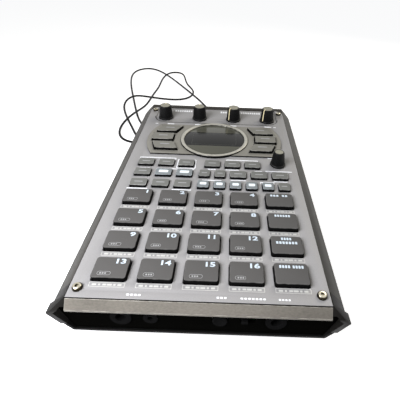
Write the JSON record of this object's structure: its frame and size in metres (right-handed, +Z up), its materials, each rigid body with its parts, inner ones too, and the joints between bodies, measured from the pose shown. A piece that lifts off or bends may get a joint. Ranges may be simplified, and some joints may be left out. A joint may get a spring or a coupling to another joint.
{
  "type": "pad sampler",
  "caption": "Compact desktop pad sampler with numbered pads, small keys, round display, knobs, sockets and a power cord with wall adapter.",
  "frame": {"origin": "on the standing surface, under the centre of the case", "axes": "+X to the player's right, +Y to the rear, +Z up"},
  "size_m": [0.2851, 0.6662, 0.0704],
  "materials": {
    "dark_case": "satin dark grey moulded plastic",
    "black_case": "fine textured black",
    "silver_plate": "satin silver, fine metallic grain",
    "silver_trim": "satin silver",
    "gloss_black": "polished black",
    "surround_grey": "satin silver grey",
    "bezel_silver": "satin silver",
    "smoked_window": "smoked, glossy",
    "board_black": "coated",
    "board_green": "coated",
    "sensor_film": "film",
    "bolt_chrome": "polished",
    "screw_steel": "plain",
    "foot_rubber": "matt",
    "pot_metal": "plain",
    "jack_black": "moulded",
    "port_metal": "plain",
    "plug_black": "moulded",
    "cord_black": "soft vinyl",
    "pad_grey": "matt silicone with white print",
    "key_grey": "satin",
    "display_key_grey": "satin",
    "knob_black": "soft touch side, grey cap"
  },
  "bodies": {
    "case": {"top_case": "dark_case", "bottom_case": "black_case", "faceplate": "silver_plate", "front_trim": "silver_trim", "front_panel": "gloss_black", "rear_panel": "black_case", "display_surround": "surround_grey", "display_bezel": "bezel_silver", "display_lens": "smoked_window", "display_module": "board_black", "pad_board": "board_green", "pad_sensor_sheet": "sensor_film", "key_board": "board_green", "main_board": "board_green", "faceplate_bolts": "bolt_chrome", "case_screws": "screw_steel", "rubber_feet": "foot_rubber", "control_pots": "pot_metal", "quarter_inch_jacks": "jack_black", "mini_jacks": "jack_black", "dc_jack": "jack_black", "usb_port": "port_metal", "dc_plug": "plug_black", "power_cord": "cord_black", "power_adapter": "plug_black"},
    "pad_1": {"pad_1": "pad_grey"},
    "pad_2": {"pad_2": "pad_grey"},
    "pad_3": {"pad_3": "pad_grey"},
    "pad_4": {"pad_4": "pad_grey"},
    "pad_5": {"pad_5": "pad_grey"},
    "pad_6": {"pad_6": "pad_grey"},
    "pad_7": {"pad_7": "pad_grey"},
    "pad_8": {"pad_8": "pad_grey"},
    "pad_9": {"pad_9": "pad_grey"},
    "pad_10": {"pad_10": "pad_grey"},
    "pad_11": {"pad_11": "pad_grey"},
    "pad_12": {"pad_12": "pad_grey"},
    "pad_13": {"pad_13": "pad_grey"},
    "pad_14": {"pad_14": "pad_grey"},
    "pad_15": {"pad_15": "pad_grey"},
    "pad_16": {"pad_16": "pad_grey"},
    "function_pad_1": {"function_pad_1": "pad_grey"},
    "function_pad_2": {"function_pad_2": "pad_grey"},
    "function_pad_3": {"function_pad_3": "pad_grey"},
    "function_pad_4": {"function_pad_4": "pad_grey"},
    "display_keys_left": {"display_keys_left": "display_key_grey"},
    "display_keys_right": {"display_keys_right": "display_key_grey"},
    "keys_left": {"keys_left": "key_grey"},
    "keys_row_1": {"keys_row_1": "key_grey"},
    "keys_row_2": {"keys_row_2": "key_grey"},
    "keys_row_3": {"keys_row_3": "key_grey"},
    "knob_1": {"knob_1": "knob_black"},
    "knob_2": {"knob_2": "knob_black"},
    "knob_3": {"knob_3": "knob_black"},
    "knob_4": {"knob_4": "knob_black"},
    "value_knob": {"value_knob": "knob_black"},
    "gain_knob": {"gain_knob": "knob_black"},
    "input_switch": {"input_switch": "knob_black"},
    "power_switch": {"power_switch": "knob_black"}
  },
  "joints": [
    {"name": "pad_1_press", "type": "slide", "parent": "case", "child": "pad_1", "axis": [0, 0.0698, -0.9976], "range_m": [0, 0.001], "stiffness_N_per_m": 500, "springref_m": -0.0015},
    {"name": "pad_2_press", "type": "slide", "parent": "case", "child": "pad_2", "axis": [0, 0.0698, -0.9976], "range_m": [0, 0.001], "stiffness_N_per_m": 500, "springref_m": -0.0015},
    {"name": "pad_3_press", "type": "slide", "parent": "case", "child": "pad_3", "axis": [0, 0.0698, -0.9976], "range_m": [0, 0.001], "stiffness_N_per_m": 500, "springref_m": -0.0015},
    {"name": "pad_4_press", "type": "slide", "parent": "case", "child": "pad_4", "axis": [0, 0.0698, -0.9976], "range_m": [0, 0.001], "stiffness_N_per_m": 500, "springref_m": -0.0015},
    {"name": "pad_5_press", "type": "slide", "parent": "case", "child": "pad_5", "axis": [0, 0.0698, -0.9976], "range_m": [0, 0.001], "stiffness_N_per_m": 500, "springref_m": -0.0015},
    {"name": "pad_6_press", "type": "slide", "parent": "case", "child": "pad_6", "axis": [0, 0.0698, -0.9976], "range_m": [0, 0.001], "stiffness_N_per_m": 500, "springref_m": -0.0015},
    {"name": "pad_7_press", "type": "slide", "parent": "case", "child": "pad_7", "axis": [0, 0.0698, -0.9976], "range_m": [0, 0.001], "stiffness_N_per_m": 500, "springref_m": -0.0015},
    {"name": "pad_8_press", "type": "slide", "parent": "case", "child": "pad_8", "axis": [0, 0.0698, -0.9976], "range_m": [0, 0.001], "stiffness_N_per_m": 500, "springref_m": -0.0015},
    {"name": "pad_9_press", "type": "slide", "parent": "case", "child": "pad_9", "axis": [0, 0.0698, -0.9976], "range_m": [0, 0.001], "stiffness_N_per_m": 500, "springref_m": -0.0015},
    {"name": "pad_10_press", "type": "slide", "parent": "case", "child": "pad_10", "axis": [0, 0.0698, -0.9976], "range_m": [0, 0.001], "stiffness_N_per_m": 500, "springref_m": -0.0015},
    {"name": "pad_11_press", "type": "slide", "parent": "case", "child": "pad_11", "axis": [0, 0.0698, -0.9976], "range_m": [0, 0.001], "stiffness_N_per_m": 500, "springref_m": -0.0015},
    {"name": "pad_12_press", "type": "slide", "parent": "case", "child": "pad_12", "axis": [0, 0.0698, -0.9976], "range_m": [0, 0.001], "stiffness_N_per_m": 500, "springref_m": -0.0015},
    {"name": "pad_13_press", "type": "slide", "parent": "case", "child": "pad_13", "axis": [0, 0.0698, -0.9976], "range_m": [0, 0.001], "stiffness_N_per_m": 500, "springref_m": -0.0015},
    {"name": "pad_14_press", "type": "slide", "parent": "case", "child": "pad_14", "axis": [0, 0.0698, -0.9976], "range_m": [0, 0.001], "stiffness_N_per_m": 500, "springref_m": -0.0015},
    {"name": "pad_15_press", "type": "slide", "parent": "case", "child": "pad_15", "axis": [0, 0.0698, -0.9976], "range_m": [0, 0.001], "stiffness_N_per_m": 500, "springref_m": -0.0015},
    {"name": "pad_16_press", "type": "slide", "parent": "case", "child": "pad_16", "axis": [0, 0.0698, -0.9976], "range_m": [0, 0.001], "stiffness_N_per_m": 500, "springref_m": -0.0015},
    {"name": "function_pad_1_press", "type": "slide", "parent": "case", "child": "function_pad_1", "axis": [0, 0.0698, -0.9976], "range_m": [0, 0.001], "stiffness_N_per_m": 500, "springref_m": -0.0015},
    {"name": "function_pad_2_press", "type": "slide", "parent": "case", "child": "function_pad_2", "axis": [0, 0.0698, -0.9976], "range_m": [0, 0.001], "stiffness_N_per_m": 500, "springref_m": -0.0015},
    {"name": "function_pad_3_press", "type": "slide", "parent": "case", "child": "function_pad_3", "axis": [0, 0.0698, -0.9976], "range_m": [0, 0.001], "stiffness_N_per_m": 500, "springref_m": -0.0015},
    {"name": "function_pad_4_press", "type": "slide", "parent": "case", "child": "function_pad_4", "axis": [0, 0.0698, -0.9976], "range_m": [0, 0.001], "stiffness_N_per_m": 500, "springref_m": -0.0015},
    {"name": "display_keys_left_press", "type": "slide", "parent": "case", "child": "display_keys_left", "axis": [0, 0.0698, -0.9976], "range_m": [0, 0.0008], "stiffness_N_per_m": 900, "springref_m": -0.0012},
    {"name": "display_keys_right_press", "type": "slide", "parent": "case", "child": "display_keys_right", "axis": [0, 0.0698, -0.9976], "range_m": [0, 0.0008], "stiffness_N_per_m": 900, "springref_m": -0.0012},
    {"name": "keys_left_press", "type": "slide", "parent": "case", "child": "keys_left", "axis": [0, 0.0698, -0.9976], "range_m": [0, 0.0008], "stiffness_N_per_m": 900, "springref_m": -0.0012},
    {"name": "keys_row_1_press", "type": "slide", "parent": "case", "child": "keys_row_1", "axis": [0, 0.0698, -0.9976], "range_m": [0, 0.0008], "stiffness_N_per_m": 900, "springref_m": -0.0012},
    {"name": "keys_row_2_press", "type": "slide", "parent": "case", "child": "keys_row_2", "axis": [0, 0.0698, -0.9976], "range_m": [0, 0.0008], "stiffness_N_per_m": 900, "springref_m": -0.0012},
    {"name": "keys_row_3_press", "type": "slide", "parent": "case", "child": "keys_row_3", "axis": [0, 0.0698, -0.9976], "range_m": [0, 0.0008], "stiffness_N_per_m": 900, "springref_m": -0.0012},
    {"name": "knob_1_turn", "type": "hinge", "parent": "case", "child": "knob_1", "pos_m": [-0.0576, 0.10543, 0.05572], "axis": [0, -0.0698, 0.9976], "range_deg": [-150, 150]},
    {"name": "knob_2_turn", "type": "hinge", "parent": "case", "child": "knob_2", "pos_m": [-0.0192, 0.10543, 0.05572], "axis": [0, -0.0698, 0.9976], "range_deg": [-150, 150]},
    {"name": "knob_3_turn", "type": "hinge", "parent": "case", "child": "knob_3", "pos_m": [0.0192, 0.10543, 0.05572], "axis": [0, -0.0698, 0.9976], "range_deg": [-150, 150]},
    {"name": "knob_4_turn", "type": "hinge", "parent": "case", "child": "knob_4", "pos_m": [0.0576, 0.10543, 0.05572], "axis": [0, -0.0698, 0.9976], "range_deg": [-150, 150]},
    {"name": "value_knob_turn", "type": "hinge", "parent": "case", "child": "value_knob", "pos_m": [0.0604, 0.01306, 0.04927], "axis": [0, -0.0698, 0.9976], "continuous": true},
    {"name": "gain_knob_turn", "type": "hinge", "parent": "case", "child": "gain_knob", "pos_m": [0.0125, -0.1326, 0.0219], "axis": [0, -1, 0], "range_deg": [-140, 140]},
    {"name": "input_switch_slide", "type": "slide", "parent": "case", "child": "input_switch", "axis": [1, 0, 0], "range_m": [0, 0.004]},
    {"name": "power_switch_slide", "type": "slide", "parent": "case", "child": "power_switch", "axis": [-1, 0, 0], "range_m": [0, 0.004]}
  ]
}
